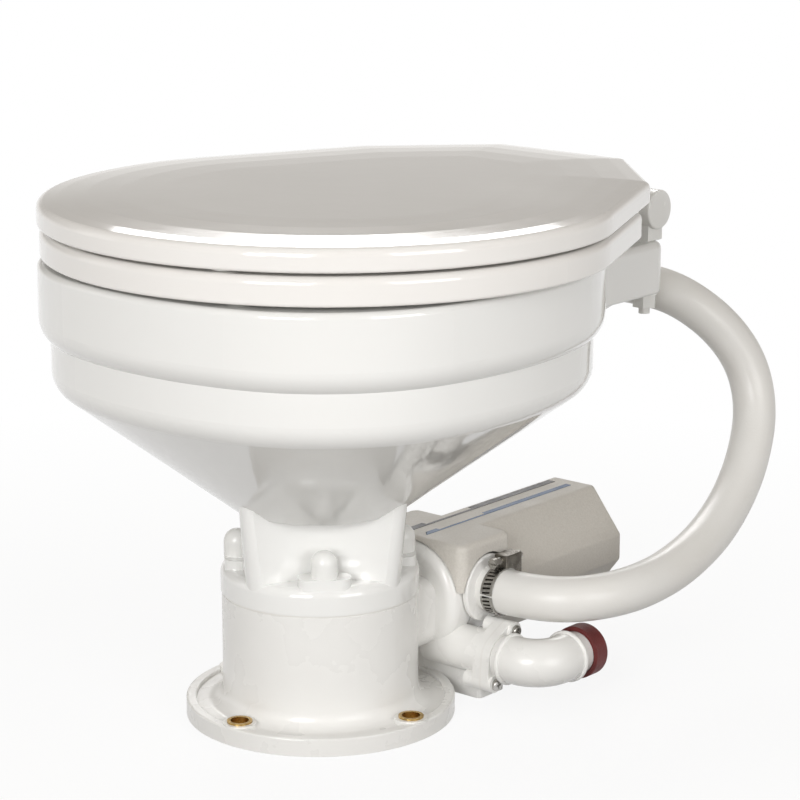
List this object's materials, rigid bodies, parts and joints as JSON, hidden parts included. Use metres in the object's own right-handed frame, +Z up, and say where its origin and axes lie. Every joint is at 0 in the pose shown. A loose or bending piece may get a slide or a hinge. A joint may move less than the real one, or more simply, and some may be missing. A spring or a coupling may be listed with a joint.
{
  "type": "electric marine toilet",
  "caption": "Compact electric boat toilet: china bowl on a round bolt-down base with a macerator pump and motor behind, seat, lid, fill hose and discharge elbow.",
  "frame": {"origin": "centre of the bolt circle of the base flange, on the floor", "axes": "+Z up, the nose of the bowl towards -Y, motor and hinge towards +Y, discharge elbow and hose on +X"},
  "size_m": [0.3794, 0.5394, 0.3515],
  "materials": {
    "china": "glazed vitreous china",
    "white_enamel": "white gloss enamel on wood",
    "base_white": "moulded, satin gloss",
    "white_plastic": "moulded",
    "cover_grey": "fine grain",
    "hose_white": "smooth vinyl",
    "cap_red": "soft vinyl",
    "brass": "turned",
    "stainless": "brushed",
    "black_rubber": "matt",
    "motor_steel": "dark grey",
    "motor_alloy": "cast",
    "magnet": "ferrite",
    "copper": "copper",
    "dark_plastic": "moulded"
  },
  "bodies": {
    "base": {"bowl": "china", "base_casting": "base_white", "discharge_elbow": "base_white", "intake_pump_body": "base_white", "pump_end_plate": "base_white", "nut_caps": "white_plastic", "hinge_posts": "white_plastic", "hinge_caps": "white_plastic", "hinge_nuts": "white_plastic", "hinge_bolts": "white_plastic", "hinge_washers": "white_plastic", "inlet_elbow": "white_plastic", "motor_cover": "cover_grey", "fill_hose": "hose_white", "bowl_gasket": "hose_white", "elbow_gasket": "hose_white", "mount_bushes": "brass", "brushes": "brass", "bowl_studs": "stainless", "nut_washers": "stainless", "stud_nuts": "stainless", "elbow_screws": "stainless", "pump_plate": "stainless", "pump_screws": "stainless", "through_bolts": "stainless", "cover_screws": "stainless", "clamp_band": "stainless", "clamp_housing": "stainless", "clamp_screw": "stainless", "hinge_pin": "stainless", "front_bearing": "stainless", "rear_bearing": "stainless", "joker_valve": "black_rubber", "housing_seals": "black_rubber", "shaft_seals": "black_rubber", "cable_grommet": "black_rubber", "spud_seal": "black_rubber", "motor_can": "motor_steel", "motor_front_bell": "motor_alloy", "motor_end_cap": "motor_alloy", "field_magnets": "magnet", "brush_holder": "dark_plastic", "cover_spacers": "dark_plastic"},
    "seat": {"seat_ring": "white_enamel", "seat_lugs": "white_plastic", "seat_lug_screws": "stainless", "seat_bumpers": "white_plastic"},
    "lid_body": {"lid": "white_enamel", "lid_lugs": "white_plastic", "lid_lug_screws": "stainless", "lid_bumpers": "white_plastic"},
    "rotor": {"motor_shaft": "stainless", "armature": "motor_steel", "windings": "copper", "commutator": "copper", "macerator_blade": "stainless", "blade_nut": "stainless", "discharge_impeller": "dark_plastic", "intake_impeller": "black_rubber"},
    "cap": {"discharge_cap": "cap_red"}
  },
  "joints": [
    {"name": "seat_hinge", "type": "hinge", "parent": "base", "child": "seat", "pos_m": [0, 0.277, 0.312], "axis": [-1, 0, 0], "range_deg": [0, 92]},
    {"name": "lid_hinge", "type": "hinge", "parent": "seat", "child": "lid_body", "pos_m": [0, 0.277, 0.312], "axis": [-1, 0, 0], "range_deg": [0, 92]},
    {"name": "pump_spin", "type": "hinge", "parent": "base", "child": "rotor", "pos_m": [0.022, 0.1, 0.0675], "axis": [0, 1, 0], "continuous": true},
    {"name": "cap_slide", "type": "slide", "parent": "base", "child": "cap", "axis": [0, 1, 0], "range_m": [0, 0.03]}
  ]
}
